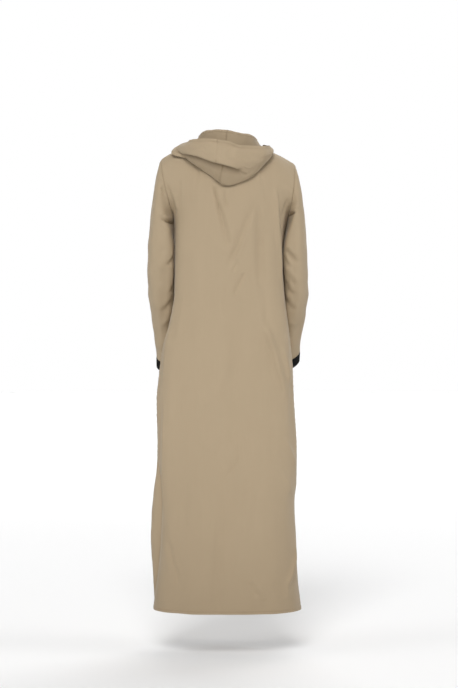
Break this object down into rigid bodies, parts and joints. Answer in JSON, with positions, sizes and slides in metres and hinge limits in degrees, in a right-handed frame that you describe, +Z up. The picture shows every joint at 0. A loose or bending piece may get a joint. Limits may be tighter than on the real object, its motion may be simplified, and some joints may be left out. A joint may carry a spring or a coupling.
{
  "type": "djellaba",
  "caption": "Worn long hooded robe in plain beige crepe-like cloth, hollow, with the hood thrown back, set-in sleeves with narrow black cuffs and a slit up each side of the skirt.",
  "frame": {"origin": "the point between the shoulders where a wearer carries the robe, level with the middle of the neckline", "axes": "+Z up; -Y is the front, where the neck slit is; +X is the wearer's left"},
  "size_m": [0.4876, 0.3238, 1.4419],
  "materials": {
    "back_panel": "matt plain weave",
    "front_panel": "matt plain weave",
    "sleeve_left": "matt plain weave",
    "sleeve_right": "matt plain weave",
    "cuff_left": "matt ribbed knit",
    "cuff_right": "matt ribbed knit",
    "hood_left": "matt plain weave",
    "hood_right": "matt plain weave"
  },
  "bodies": {
    "root": {"back_panel": "back_panel", "front_panel": "front_panel", "sleeve_left": "sleeve_left", "sleeve_right": "sleeve_right", "cuff_left": "cuff_left", "cuff_right": "cuff_right", "hood_left": "hood_left", "hood_right": "hood_right"}
  },
  "joints": []
}
